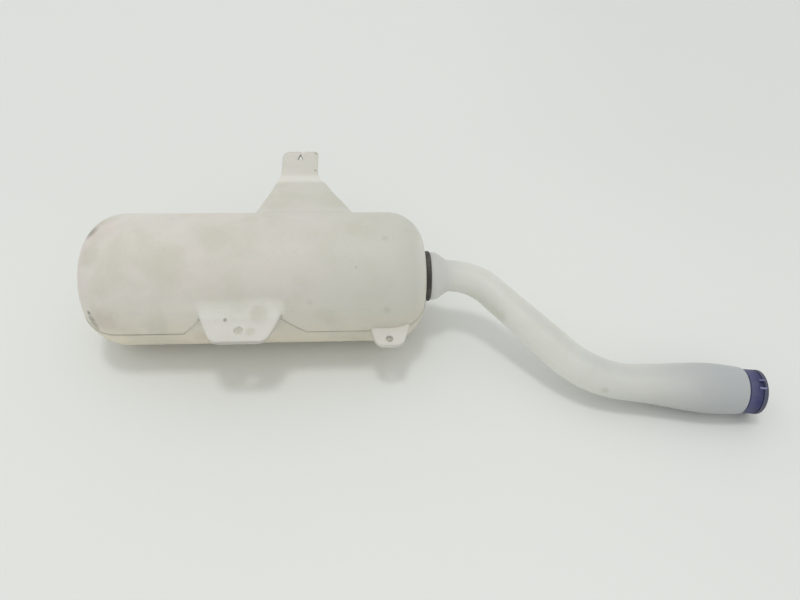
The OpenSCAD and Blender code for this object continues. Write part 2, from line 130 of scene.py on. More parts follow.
class NeckSettings(bpy.types.PropertyGroup):
    clean: colour("Clean Plastic", "Milky plastic of the bent tube", (206, 207, 201))
    aged: colour("Aged Plastic", "Cloudy stains on the tube", (190, 187, 172))
    # Painted light: the lower side is made paler, standing in for light through the thin wall
    painted_underglow: colour("Underside", "Lower side, where light comes through the thin wall", (226, 227, 221))
    # Also painted shade: greys the tube's upper side
    mouth: colour("Mouth Plastic", "Greyer plastic of the thick mouth", (171, 175, 176))
    collar: colour("Collar Plastic", "Grey plastic of the flange on the rubber ring", (189, 189, 187))
    # Partly a real stain and partly painted shade in the first bend
    stain_and_painted_shade: colour("Bend Stain", "Stain on the inside of the first bend", (164, 161, 138))
    port_depth: length("Port Depth", "From the port face to the inner end of the rubber ring", 9)
    spigot: length("Spigot", "Tube beyond the rubber ring, inside the tank", 9)
    ring_out: length("Ring", "Thickness of the rubber ring outside the tank", 5.5)
    flange_r: length("Flange Radius", "Flange that sits on the rubber ring", 24.25)
    flange_t: length("Flange Thickness", "Straight part of the flange", 5)
    flange_cone: length("Flange Cone", "Run from the flange to the tube", 14)
    tube_r: length("Tube Radius", "Tube at its start", 16)
    tube_r2: length("Second Radius", "Tube in its second bend", 17.75)
    wall: length("Wall", "Thickness of the tube", 2.5)
    bend1_r: length("First Bend Radius", "Centre radius of the first bend", 58.5)
    bend1_a: turn("First Bend", "Angle of the first bend", 47.9)
    run_l: length("Run", "Straight between the bends", 91.5)
    bend2_r: length("Second Bend Radius", "Centre radius of the second bend", 96.5)
    bend2_a: turn("Second Bend", "Angle of the second bend", 42)
    mouth_l: length("Mouth Length", "Widening mouth after the second bend", 106.7)
    mouth_r: length("Mouth Radius", "Mouth at its widest", 24.2)
    mouth_end_r: length("Mouth End Radius", "Mouth where it meets the cap", 22.4)
    mouth_bulge: share("Mouth Bulge", "Place of the widest ring along the mouth", 0.7)
    mouth_edge_r: length("Mouth Edge", "Rounding of the mouth's end", 1.2)
    rim_r: length("Rim Radius", "Rim that the cap goes on", 17.5)
    rim_l: length("Rim Length", "Length of that rim", 13.2)
    sides: IntProperty(name="Sides", description="Points round the tube", default=72, min=12, max=128)
    waviness: length("Waviness", "Uneven swelling of the moulded tube", 0.25)


class RubberSettings(bpy.types.PropertyGroup):
    rubber: colour("Rubber", "Black rubber of the rings", (58, 57, 54))
    dust: colour("Dust", "Grey bloom and dust on the rubber", (122, 121, 114))


class CapSettings(bpy.types.PropertyGroup):
    blue: colour("Cap Blue", "Moulded colour of the cap", (54, 56, 108))
    faded: colour("Faded Blue", "Skirt where the colour has gone grey", (77, 79, 109))
    worn: colour("Worn Blue", "Rubbed edges", (100, 104, 132))
    bar: colour("Rubbed Bars", "Bars that hands have rubbed pale", (122, 126, 162))
    # Painted reflection: the rim's grey stands for the pale room seen in its glossy edge
    rim: colour("Rim Grey", "Greyed outer rim", (76, 79, 89))
    # Painted shade in the groove, the notch, the bore and along the skirt's open end
    painted_shade_blue: colour("Cap Shade", "Dirt in the groove and the notch", (32, 33, 74))
    gap: length("Gap", "Between the mouth's end and the skirt", 0.4)
    skirt_r: length("Skirt Radius", "Outside of the skirt", 21.1)
    rim_r: length("Rim Radius", "Outside of the outer rim", 21.2)
    bore_r: length("Bore Radius", "Inside of the skirt", 17.9)
    long: length("Length", "From the skirt's open end to the rim's face", 17.8)
    top: length("Top", "Thickness of the top", 3)
    groove_w: length("Groove Width", "Groove behind the rim", 1.3)
    groove_d: length("Groove Depth", "Groove behind the rim", 0.7)
    rim_t: length("Rim Thickness", "Outer rim, along the axis", 4.4)
    dish: length("Dish", "Depth of the dished top", 0.8)
    rounding: length("Rounding", "Outer edge of the rim", 1.6)
    land: length("Land", "Flat ring round the dish", 2.2)
    edge: length("Skirt Edge", "Rounding of the skirt's open end", 0.6)
    bar_l: length("Bar Length", "Grip bars, along the axis", 6.2)
    bar_w: length("Bar Width", "Width of one grip bar", 1.8)
    bar_out: length("Bar Place", "Distance of a bar from the middle of the pair", 3.6)
    bar_h: length("Bar Height", "Height of the bars above the rim", 0.7)
    bar_in: length("Bar Inset", "Distance of the bars from the rim's face", 2.6)
    notch_d: length("Notch Depth", "Depth of the notch between the bars", 2)
    notch_l: length("Notch Length", "Length of that notch, along the axis", 4.6)
    notch_in: length("Notch Inset", "Distance of the notch from the rim's face", 3.6)


class StageSettings(bpy.types.PropertyGroup):
    floor: colour("Floor", "Pale table top", (222, 224, 221))
    eye: position("Camera Place", "Where the camera stands", (-0.0602, -0.5029, 0.5147))
    dip: turn("Camera Dip", "How far the camera looks down", 44.745)
    yaw: turn("Camera Yaw", "How far the camera looks to the right", 5.29)
    roll: turn("Camera Roll", "How far the camera is rolled", 2.92)
    lens: FloatProperty(
        name="Lens", description="Focal length on a 36 mm sensor", unit="CAMERA", default=29.25)
    lamp: FloatProperty(
        name="Overhead Lamp", description="Power of the large soft lamp", unit="POWER", default=66)
    lamp_place: position("Lamp Place", "Where the lamp hangs", (-0.42, 0.0, 6.0))
    lamp_width: length("Lamp Width", "Each side of the square lamp", 1000)
    sky: FloatProperty(
        name="Room Light", description="Strength of the even light from all sides",
        default=0.855, min=0, max=2)
    table: length("Table Size", "Each side of the square table top", 12000)


# Shader expressions


class Field:
    """A value on a shader socket, for use in plain arithmetic."""

    def __init__(self, look, socket):
        self.look = look
        self.socket = socket

    def __add__(self, other):
        return self.look.math("ADD", self, other)

    __radd__ = __add__

    def __sub__(self, other):
        return self.look.math("SUBTRACT", self, other)

    def __rsub__(self, other):
        return self.look.math("SUBTRACT", other, self)

    def __mul__(self, other):
        return self.look.math("MULTIPLY", self, other)

    __rmul__ = __mul__

    def __truediv__(self, other):
        return self.look.math("DIVIDE", self, other)

    def __rtruediv__(self, other):
        return self.look.math("DIVIDE", other, self)


class Look:
    """A node tree that is written as expressions."""

    # Sockets of a Mix node that mixes colours: its factor and both colours, and its result
    MIX_SOCKETS = (0, 6, 7)
    MIX_RESULT = 2

    def __init__(self, tree):
        self.tree = tree
        tree.nodes.clear()

    def node(self, kind, settings, sockets):
        """A node of any type: its settings are set first, then the values or links of its sockets."""
        made = self.tree.nodes.new(kind)
        for name, value in settings.items():
            setattr(made, name, value)
        for key, value in sockets.items():
            if isinstance(value, Field):
                self.tree.links.new(value.socket, made.inputs[key])
            else:
                made.inputs[key].default_value = value
        return made

    def field(self, kind, settings, sockets, output=0):
        return Field(self, self.node(kind, settings, sockets).outputs[output])

    def math(self, operation, *values):
        return self.field("ShaderNodeMath", {"operation": operation}, dict(enumerate(values)))

    def biggest(self, *values):
        most = values[0]
        for value in values[1:]:
            most = self.math("MAXIMUM", most, value)
        return most

    def step(self, value, low, high, kind="SMOOTHSTEP"):
        """0 below low, 1 above high, and a soft rise between them."""
        settings = {"interpolation_type": kind, "clamp": True}
        sockets = {"Value": value, "From Min": low, "From Max": high}
        return self.field("ShaderNodeMapRange", settings, sockets)

    def place(self):
        return self.field("ShaderNodeTexCoord", {}, {}, "Object")

    def parts(self, vector):
        split = self.node("ShaderNodeSeparateXYZ", {}, {"Vector": vector})
        return [Field(self, out) for out in split.outputs]

    def stretched(self, vector, scale):
        return self.field("ShaderNodeMapping", {}, {"Vector": vector, "Scale": scale}, "Vector")

    def noise(self, vector, scale, detail=3.0, rough=0.55, bend=0.0):
        sockets = {"Vector": vector, "Scale": scale, "Detail": detail}
        sockets |= {"Roughness": rough, "Distortion": bend}
        return self.field("ShaderNodeTexNoise", {}, sockets, "Fac")

    def mix(self, factor, first, second):
        """Two colours mixed: first where factor is 0, second where it is 1."""
        colours = [value if isinstance(value, Field) else (*value, 1.0) for value in (first, second)]
        sockets = dict(zip(self.MIX_SOCKETS, (factor, *colours)))
        settings = {"data_type": "RGBA", "clamp_factor": True}
        return self.field("ShaderNodeMix", settings, sockets, self.MIX_RESULT)

    def spot(self, vector, middle, radius):
        """1 at a place on the surface, fading to 0 at the radius."""
        far = self.field("ShaderNodeVectorMath", {"operation": "DISTANCE"}, {0: vector, 1: middle}, "Value")
        return 1 - self.step(far, radius * 0.25, radius)

    def spots(self, vector, places):
        """The strongest of several spots, each given as middle, radius and strength."""
        return self.biggest(*(self.spot(vector, middle, radius) * level for middle, radius, level in places))

    def attribute(self, name):
        return self.field("ShaderNodeAttribute", {"attribute_name": name}, {}, "Fac")

    def finish(self, base, rough, height, distance, constants, soften=0.0):
        """Closes a material with a Principled shader, a bump, softened edges and its constant sockets."""
        sockets = {"Height": height, "Distance": distance, "Strength": 1.0}
        if soften:
            sockets["Normal"] = self.field("ShaderNodeBevel", {"samples": 8}, {"Radius": soften}, "Normal")
        bump = self.field("ShaderNodeBump", {}, sockets, "Normal")
        sockets = {"Base Color": base, "Roughness": rough, "Normal": bump, **constants}
        shader = self.field("ShaderNodeBsdfPrincipled", {}, sockets, "BSDF")
        self.node("ShaderNodeOutputMaterial", {}, {"Surface": shader})


def new_look(name):
    material = bpy.data.materials.new(name)
    material.use_nodes = True
    return material, Look(material.node_tree)


MILKY = {
    "Subsurface Weight": 0.3,
    "Subsurface Radius": (1.0, 0.85, 0.62),
    "Subsurface Scale": 2 * MM,
    "IOR": 1.46,
    "Specular IOR Level": 0.42,
}

# Marks on the tank and the neck, each as middle, radius and strength
TANK_SCUFFS = (
    # Upper left shoulder
    ((-0.3060, -0.0140, 0.1228), 0.0108, 0.80),
    ((-0.3010, -0.0040, 0.1260), 0.0090, 0.16),
    # Row down the lower left shoulder
    ((-0.3058, -0.0739, 0.0766), 0.0034, 1.00),
    ((-0.3050, -0.0753, 0.0700), 0.0066, 0.75),
    ((-0.3040, -0.0762, 0.0640), 0.0070, 0.75),
    ((-0.3032, -0.0766, 0.0595), 0.0055, 0.50),
    # Speck on the bracket
    ((-0.1814, -0.0857, 0.0768), 0.0026, 0.90),
    # Edge and upper corners of the fin's tab
    ((-0.1060, 0.1310, 0.0940), 0.0022, 0.80),
    ((-0.1428, 0.1606, 0.0990), 0.0045, 0.55),
    ((-0.1046, 0.1594, 0.0990), 0.0045, 0.55),
    # Specks on the right half of the barrel
    ((-0.0336, -0.0322, 0.1281), 0.0045, 0.20),
    ((-0.0611, -0.0582, 0.1152), 0.0014, 0.80),
    ((-0.1038, -0.0774, 0.0889), 0.0040, 0.15),
    ((-0.0327, -0.0800, 0.0808), 0.0055, 0.25),
    # Ends of the seam at the bracket
    ((-0.2061, -0.0820, 0.0735), 0.0020, 0.75),
    ((-0.1307, -0.0811, 0.0757), 0.0018, 0.55),
)
TANK_YELLOW = (
    # Left of the barrel's middle
    ((-0.2289, -0.0559, 0.1170), 0.026, 1.00),
    ((-0.1916, -0.0319, 0.1282), 0.020, 0.90),
    ((-0.1599, -0.0046, 0.1288), 0.012, 0.90),
    # Right half
    ((-0.0605, -0.0207, 0.1299), 0.014, 0.80),
    ((-0.0474, -0.0249, 0.1295), 0.012, 0.80),
    ((-0.0874, -0.0475, 0.1223), 0.024, 0.60),
    ((-0.1169, -0.0726, 0.0986), 0.026, 0.70),
    ((-0.0885, -0.0807, 0.0775), 0.018, 0.60),
    # Both roots of the fin
    ((-0.1411, 0.0382, 0.1145), 0.018, 1.00),
    ((-0.0797, 0.0458, 0.1123), 0.020, 1.00),
    # Left end
    ((-0.2939, -0.0004, 0.1265), 0.014, 1.00),
    ((-0.2971, -0.0297, 0.1264), 0.012, 0.60),
    ((-0.3038, -0.0428, 0.1186), 0.016, 0.80),
    ((-0.2935, -0.0679, 0.1035), 0.016, 0.60),
    # Bracket
    ((-0.1490, -0.0818, 0.0795), 0.013, 1.80),
    ((-0.1580, -0.0975, 0.0738), 0.006, 1.60),
)
TANK_BROWN = (
    # Lower left of the barrel, and left of the bracket
    ((-0.2914, -0.0806, 0.0739), 0.020, 0.22),
    ((-0.2085, -0.0800, 0.0480), 0.012, 0.30),
    # Bracket
    ((-0.1524, -0.0833, 0.0789), 0.012, 0.14),
    ((-0.1581, -0.0968, 0.0734), 0.007, 0.14),
)
NECK_STAIN_AND_SHADE = (
    # Row along the inside of the first bend, partly a real stain and partly painted shade
    ((0.0529, -0.0379, 0.0600), 0.018, 0.06),
    ((0.0600, -0.0440, 0.0580), 0.019, 0.15),
    ((0.0672, -0.0493, 0.0560), 0.018, 0.19),
    ((0.0738, -0.0563, 0.0550), 0.016, 0.22),
    ((0.0804, -0.0634, 0.0540), 0.012, 0.25),
    # Spot low on the second bend
    ((0.1712, -0.1411, 0.0306), 0.005, 0.28),
)

# Stretches of the tank over which a tone comes or goes, along the whole part and up from the table
DULL_ALONG = (-0.28, 0.0)
BLUSH_UP = (0.07, 0.115)
# Painted light: the height over which the paler lower side fades out
PAINTED_GLOW_UP = (0.02, 0.10)
# Along the barrel, from its end at the neck
# Painted light: where the barrel's end at the neck is made paler
PAINTED_LIT_END = (-18 * MM, -2 * MM)
BRACKET_LEFT = (-220 * MM, -212 * MM)
BRACKET_RIGHT = (-142 * MM, -134 * MM)
SEAM_FROM = (-314 * MM, -298 * MM)
SEAM_CLIMB = (-234 * MM, -216 * MM)
SEAM_DROP = (-142 * MM, -119 * MM)
SEAM_FAINT = (-125 * MM, -105 * MM)
SEAM_TO = (-36 * MM, -24 * MM)
# Reach to the back, height over the seam plane, and distance out from the barrel's face or the seam
FIN_ROOT = (48 * MM, 66 * MM)
FIN_TIP = (112 * MM, 136 * MM)
FIN_CREASE = 135 * MM
CREASE_FADE = (3 * MM, 12 * MM)
RAMP_FOOT = (22.5 * MM, 26 * MM)
RAMP_HEAD = (33 * MM, 41 * MM)
TAB_OUT = (0.15 * MM, 2 * MM)
SEAM_STEP = 20 * MM
SEAM_WIDTH = (0.2 * MM, 1.3 * MM)
# The bracket's hole, where painted light is put: place along the barrel, reach to the front, its edge, and
# the barrel seen through it
HOLE_ALONG = -179 * MM
HOLE_REACH = 76 * MM
HOLE_EDGE = (4.7 * MM, 5.1 * MM)
BEHIND_HOLE = (-0.1715, -0.0813, 0.0565)
BEHIND_HOLE_R = 12 * MM

# Stretches of the neck, as shares of its length from the spigot to the rim
COLLAR_TO = (0.08, 0.165)
PAINTED_GLOW_FULL = (0.10, 0.22)
TOP_SHADE_FROM = (0.25, 0.40)
PAINTED_GLOW_GONE = (0.50, 0.72)
BEND_GREY = (0.50, 0.58)
MOUTH_GREY = (0.67, 0.93)
# Depth below the neck's centre line, as shares of its radius
PAINTED_GLOW_DEPTH = (-1.0, 0.35)
TOP_SHADE_DEPTH = (-1.0, -0.85)


def tank_look(size):
    """Aged blow-moulded plastic: yellow and pinkish clouds, whiter tabs, scuffs, a dirty seam, and painted
    light on the lower side, at the end by the neck and round the bracket's hole.
    """
    material, look = new_look("aged_milky_plastic")
    place = look.place()
    x, y, z = look.parts(place)
    low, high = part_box("neck_grommet")
    axis = (low + high) / 2
    along = x - (low.x + size.port_depth)
    cos, sin = math.cos(size.lean), math.sin(size.lean)
    back, rise = y - axis.y, z - axis.z
    # Distance from the barrel's axis, reach to the back in the seam plane, and height above that plane
    far = look.math("SQRT", back * back + rise * rise)
    reach = back * cos + rise * sin
    up = rise * cos - back * sin
    front = 1 - look.step(back, -2 * MM, 2 * MM)
    broad = look.noise(place, 8.0, 3.0, 0.5, 0.3)
    patch = look.noise(place, 26.0, 4.0, 0.6, 0.4)
    cloud = look.noise(look.stretched(place, (1.0, 2.2, 2.2)), 14.0, 3.0, 0.5)
    fine = look.noise(place, 190.0, 3.0, 0.65)
    grain = look.noise(place, 900.0, 2.0, 0.5)
    crumbs = look.noise(place, 320.0, 3.0, 0.7)
    # Duller towards the neck, with pinkish and yellow clouds, and painted light that makes the lower side
    # paler, as if lit through the thin wall
    dull = look.step(x, *DULL_ALONG)
    base = look.mix(dull, size.clean, size.dull)
    pink = look.step(cloud, 0.42, 0.66) * look.step(z, *BLUSH_UP) * (1 - dull)
    base = look.mix(pink * 0.7, base, size.blush)
    fin = look.step(reach, *FIN_ROOT) * 0.12 - look.step(reach, *FIN_TIP) * 0.24
    yellow = broad * 0.4 + patch * 0.6 + look.spots(place, TANK_YELLOW) * 0.14 + fin
    yellow = look.step(yellow, 0.42, 0.72)
    painted_glow = (1 - look.step(z, *PAINTED_GLOW_UP)) * (1 - yellow * 0.25) * (1 - dull * 0.2)
    base = look.mix(painted_glow, base, size.painted_underglow)
    # Painted light: paler towards the barrel's end at the neck
    base = look.mix(look.step(along, *PAINTED_LIT_END) * 0.6, base, size.pale)
    # Tabs in front, the bracket's ramp and the crease of the fin are whiter
    thick = look.step(far - axis.z, *TAB_OUT) * front
    base = look.mix(thick * 0.85, base, size.tab)
    crease = 1 - look.step(look.math("ABSOLUTE", reach - FIN_CREASE), *CREASE_FADE)
    ramp = look.step(up, *RAMP_FOOT) * (1 - look.step(up, *RAMP_HEAD)) * front
    ramp = ramp * look.step(along, *BRACKET_LEFT) * (1 - look.step(along, *BRACKET_RIGHT))
    base = look.mix(look.biggest(ramp * 0.7, crease * 0.65), base, size.pale)
    base = look.mix(yellow * size.wear * 0.5, base, size.aged)
    # Painted light: the bracket's hole is made paler, as if lit through its thin wall, and so is the barrel
    # behind it
    aside, away = along - HOLE_ALONG, reach + HOLE_REACH
    bore = 1 - look.step(look.math("SQRT", aside * aside + away * away), *HOLE_EDGE)
    behind = look.spot(place, BEHIND_HOLE, BEHIND_HOLE_R)
    base = look.mix(look.biggest(bore * 0.72, behind * 0.5), base, size.lit)
    base = look.mix(look.spots(place, TANK_BROWN) * look.step(patch, 0.3, 0.6), base, size.brown)
    base = look.mix(look.step(fine, 0.54, 0.74) * 0.05, base, size.grime)
    # Scuffs, broken up by the grain of the dirt
    dirt = look.spots(place, TANK_SCUFFS) * (0.45 + look.step(crumbs, 0.30, 0.62) * 0.55)
    # Seam: dark line along the ridge, stepping up to the mid bracket in front
    climb = look.step(along, *SEAM_CLIMB, "LINEAR") - look.step(along, *SEAM_DROP, "LINEAR")
    gap = look.math("ABSOLUTE", up - climb * front * SEAM_STEP)
    line = (1 - look.step(gap, *SEAM_WIDTH)) * (0.45 + look.step(patch, 0.40, 0.60) * 0.55)
    line = line * look.step(along, *SEAM_FROM) * (1 - look.step(along, *SEAM_TO))
    line = line * (1 - look.step(along, *SEAM_FAINT) * 0.65)
    base = look.mix(look.biggest(dirt, line * 0.42) * size.wear, base, size.grime)
    rough = 0.42 + broad * 0.10 + fine * 0.08
    height = broad * 0.9 + patch * 0.22 + fine * 0.02 + grain * 0.006
    look.finish(base, rough, height, 1.4 * MM, MILKY, 2.5 * MM)
    return material


def neck_look(size):
    """Milky plastic that turns greyer at the thick mouth, with painted light on its lower side, painted
    shade on its upper side, and a stained strip inside the first bend that is partly painted shade.
    """
    material, look = new_look("milky_neck_plastic")
    place = look.place()
    z = look.parts(place)[2]
    along = look.attribute("along")
    # Depth below the tube's centre line, as a share of its radius
    below = (look.attribute("axis_z") - z) / look.attribute("tube_radius")
    broad = look.noise(place, 11.0, 3.0, 0.5, 0.3)
    patch = look.noise(place, 34.0, 4.0, 0.6, 0.5)
    fine = look.noise(place, 210.0, 3.0, 0.6)
    yellow = look.step(broad * 0.55 + patch * 0.45, 0.46, 0.70)
    base = look.mix(yellow * 0.28, size.clean, size.aged)
    # The thick mouth is greyer, and so is the flange
    grey = look.step(along, *BEND_GREY) * 0.14
    grey = grey + look.step(along + (patch - 0.5) * 0.03, *MOUTH_GREY) * 0.86
    base = look.mix(grey, base, size.mouth)
    base = look.mix((1 - look.step(along, *COLLAR_TO)) * 0.8, base, size.collar)
    # Painted light: the lower side is made paler, as if lit through the thin wall, less at the collar and
    # not in the mouth
    painted_glow = look.step(below, *PAINTED_GLOW_DEPTH, "LINEAR") * (1 - look.step(along, *PAINTED_GLOW_GONE))
    painted_glow = painted_glow * (0.55 + look.step(along, *PAINTED_GLOW_FULL) * 0.45)
    base = look.mix(painted_glow, base, size.painted_underglow)
    # Painted shade: the tube's upper side is greyed from the run on
    top = (1 - look.step(below, *TOP_SHADE_DEPTH, "LINEAR")) * look.step(along, *TOP_SHADE_FROM)
    base = look.mix(top * 0.26, base, size.mouth)
    # Partly a real stain and partly painted shade, along the inside of the first bend
    stain_and_painted_shade = look.spots(place, NECK_STAIN_AND_SHADE) * (0.7 + look.step(patch, 0.24, 0.5) * 0.3)
    base = look.mix(stain_and_painted_shade, base, size.stain_and_painted_shade)
    base = look.mix(look.step(fine, 0.54, 0.74) * 0.04, base, size.stain_and_painted_shade)
    rough = 0.40 + patch * 0.12 - grey * 0.06
    height = broad * 0.8 + patch * 0.2 + fine * 0.03
    look.finish(base, rough, height, 1.2 * MM, MILKY)
    return material


def rubber_look(size):
    """Black rubber with a grey bloom and dust."""
    material, look = new_look("black_rubber")
    place = look.place()
    cloud = look.noise(place, 60.0, 4.0, 0.6, 0.3)
    fine = look.noise(place, 420.0, 3.0, 0.65)
    dusty = look.step(cloud * 0.6 + fine * 0.4, 0.44, 0.70)
    base = look.mix(dusty * 0.5, size.rubber, size.dust)
    rough = 0.58 + dusty * 0.2
    height = cloud * 0.4 + fine * 0.3
    look.finish(base, rough, height, 0.3 * MM, {"Specular IOR Level": 0.35})
    return material


def cap_look(size):
    """Worn blue plastic: faded skirt, rubbed bars, painted reflection that greys the rim and the skirt's
    open end, and painted shade in the groove, the notch and the bore.
    """
    material, look = new_look("worn_blue_plastic")
    place = look.place()
    cloud = look.noise(place, 70.0, 4.0, 0.6, 0.3)
    fine = look.noise(place, 520.0, 3.0, 0.7)
    rubbed, painted_recess_shade, rim = look.attribute("rubbed"), look.attribute("painted_recess_shade"), look.attribute("rim")
    base = look.mix(look.step(cloud, 0.36, 0.66) * 0.7, size.blue, size.faded)
    # Painted reflection greys the rim, and painted shade darkens the groove, the notch and the bore
    base = look.mix(rim * (0.6 + cloud * 0.5), base, size.rim)
    base = look.mix(painted_recess_shade * 0.9, base, size.painted_shade_blue)
    base = look.mix(rubbed * look.step(fine, 0.25, 0.55), base, size.worn)
    base = look.mix(look.step(rubbed, 0.4, 0.8), base, size.bar)
    base = look.mix(look.step(fine, 0.52, 0.74) * 0.15, base, size.worn)
    rough = 0.36 + cloud * 0.16 + fine * 0.08
    height = cloud * 0.5 + fine * 0.15
    look.finish(base, rough, height, 0.3 * MM, {"Specular IOR Level": 0.4})
    return material


# Shapes


def merged_copy(node, name, smooth_under):
    """A copy of a solid's mesh with its seams closed, shaded smooth up to an angle."""
    mesh = frame["nodes"][node].data.copy()
    mesh.name = name
    work = bmesh.new()
    work.from_mesh(mesh)
    bmesh.ops.remove_doubles(work, verts=work.verts, dist=0.002 * MM)
    work.to_mesh(mesh)
    work.free()
    if "custom_normal" in mesh.attributes:
        mesh.attributes.remove(mesh.attributes["custom_normal"])
    for edge in mesh.edges:
        edge.use_edge_sharp = False
    mesh.shade_smooth()
    mesh.set_sharp_from_angle(angle=smooth_under)
    piece = bpy.data.objects.new(name, mesh)
    bpy.context.scene.collection.objects.link(piece)
    return piece


def wear_material(piece, material):
    piece.data.materials.clear()
    piece.data.materials.append(material)


def set_marks(mesh, marks):
    """Stores named values on a mesh's points, for the materials and the sweep."""
    for label, values in marks.items():
        mesh.attributes.new(label, "FLOAT", "POINT").data.foreach_set("value", values)


class NeckPath:
    """The neck's centre line: two bends between straights, in a plane that dips to the table."""

    CONE_STEPS = 12
    MOUTH_STEPS = 40
    BORE_STEPS = 20
    OUTER_SPACING = 2.5 * MM
    BORE_SPACING = 5 * MM
    CHAMFER = 0.8 * MM
    WAVE_FADE = 20 * MM

    def __init__(self, size):
        self.size = size
        low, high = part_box("neck_grommet")
        self.port = Vector((low.x + size.port_depth, (low.y + high.y) / 2, (low.z + high.z) / 2))
        out = Vector(frame["joints"][0]["axis"])
        self.head = math.acos(max(-1, min(1, out.x)))
        self.dip = math.atan2(-out.z, -out.y)
        self.start = -size.port_depth - size.spigot
        self.straight = size.ring_out + size.flange_t + size.flange_cone
        self.run = self.straight + size.bend1_r * size.bend1_a
        self.bend2 = self.run + size.run_l
        self.mouth = self.bend2 + size.bend2_r * size.bend2_a
        self.shoulder = self.mouth + size.mouth_l
        self.end = self.shoulder + size.rim_l

    def at(self, s):
        """The point of the centre line at a distance s from the port."""
        size, a = self.size, self.size.bend1_a
        if s <= self.straight:
            return self.lay(s, 0)
        t = min(s - self.straight, size.bend1_r * a) / size.bend1_r
        x, w = self.straight + size.bend1_r * math.sin(t), size.bend1_r * (1 - math.cos(t))
        d = min(max(s - self.run, 0), size.run_l)
        x, w = x + d * math.cos(a), w + d * math.sin(a)
        t = a - min(max(s - self.bend2, 0), size.bend2_r * size.bend2_a) / size.bend2_r
        x += size.bend2_r * (math.sin(a) - math.sin(t))
        w += size.bend2_r * (math.cos(t) - math.cos(a))
        d = max(s - self.mouth, 0)
        return self.lay(x + d * math.cos(self.head), w + d * math.sin(self.head))

    def lay(self, x, w):
        """A point of the neck's plane, x along the barrel and w out to the front."""
        return self.port + Vector((x, -w * math.cos(self.dip), -w * math.sin(self.dip)))

    def mouth_at(self, t):
        """The mouth's radius, swelling to its widest ring and drawing in again."""
        size = self.size
        if t < size.mouth_bulge:
            u = t / size.mouth_bulge
            return size.tube_r2 + (size.mouth_r - size.tube_r2) * (u + (1 - math.cos(math.pi * u)) / 2) / 2
        u = (t - size.mouth_bulge) / (1 - size.mouth_bulge)
        return size.mouth_r - (size.mouth_r - size.mouth_end_r) * (1 - math.cos(math.pi / 2 * u))

    def tube_at(self, s):
        """The tube's radius, which grows along the straight run."""
        size = self.size
        t = min(max((s - self.run) / size.run_l, 0), 1)
        return size.tube_r + (size.tube_r2 - size.tube_r) * t * t * (3 - 2 * t)

    def stations(self, spacing):
        """Even stations along the bends and the run, without their two ends."""
        reach = self.mouth - self.straight
        count = int(reach / spacing)
        return [self.straight + reach * i / count for i in range(1, count)]

    def outside(self):
        """Stations and radii along the outer face, closed onto the bore at both ends."""
        size, hair, chamfer = self.size, 0.1 * MM, self.CHAMFER
        seat, edge = size.ring_out + size.flange_t, size.mouth_edge_r
        rows = [
            (self.start, size.tube_r - size.wall),
            (self.start + hair, size.tube_r - MM),
            (self.start + 3 * MM, size.tube_r),
            (size.ring_out - hair, size.tube_r),
            (size.ring_out, size.flange_r - chamfer),
            (size.ring_out + 0.25 * MM, size.flange_r - 0.25 * MM),
            (size.ring_out + chamfer, size.flange_r),
        ]
        for i in range(self.CONE_STEPS + 1):
            t = i / self.CONE_STEPS
            fall = (t + t * t * (3 - 2 * t)) / 2
            rows.append((seat + size.flange_cone * t, size.flange_r + (size.tube_r - size.flange_r) * fall))
        rows += [(s, self.tube_at(s)) for s in self.stations(self.OUTER_SPACING)]
        for i in range(self.MOUTH_STEPS):
            t = i / self.MOUTH_STEPS
            rows.append((self.mouth + size.mouth_l * t, self.mouth_at(t)))
        for i in range(1, 5):
            t = math.pi / 10 * i
            s = self.shoulder - edge + edge * math.sin(t)
            rows.append((s, size.mouth_end_r - edge + edge * math.cos(t)))
        rows += [
            (self.shoulder - hair / 2, size.mouth_end_r - 1.6 * edge),
            (self.shoulder, size.rim_r),
            (self.end - MM, size.rim_r),
            (self.end - hair, size.rim_r - 0.9 * MM),
            (self.end, size.rim_r - size.wall),
        ]
        return rows

    def inside(self):
        """Stations and radii along the bore."""
        size = self.size
        rows = [(self.start, size.tube_r - size.wall), (self.straight, size.tube_r - size.wall)]
        rows += [(s, self.tube_at(s) - size.wall) for s in self.stations(self.BORE_SPACING)]
        for i in range(self.BORE_STEPS - 1):
            t = i / self.BORE_STEPS
            rows.append((self.mouth + size.mouth_l * t, self.mouth_at(t) - size.wall))
        rows += [(self.shoulder - 2 * MM, size.rim_r - size.wall), (self.end, size.rim_r - size.wall)]
        return rows

    def guide(self, name):
        """The centre line twice, once for each face of the tube, with values at every station."""
        points, links = [], []
        marks = {"tube_radius": [], "along": [], "loose": [], "inner": [], "axis_z": []}
        for bore, rows in enumerate((self.outside(), self.inside())):
            first = len(points)
            for s, r in rows:
                points.append(self.at(s))
                rise = min(max((s - self.straight) / self.WAVE_FADE, 0), 1)
                fall = min(max((self.shoulder - s) / self.WAVE_FADE, 0), 1)
                marks["tube_radius"].append(r)
                marks["along"].append((s - self.start) / (self.end - self.start))
                marks["loose"].append(rise * fall)
                marks["inner"].append(float(bore))
                marks["axis_z"].append(points[-1].z)
            links += [(i, i + 1) for i in range(first, len(points) - 1)]
        mesh = bpy.data.meshes.new(name)
        mesh.from_pydata(points, links, [])
        set_marks(mesh, marks)
        return mesh


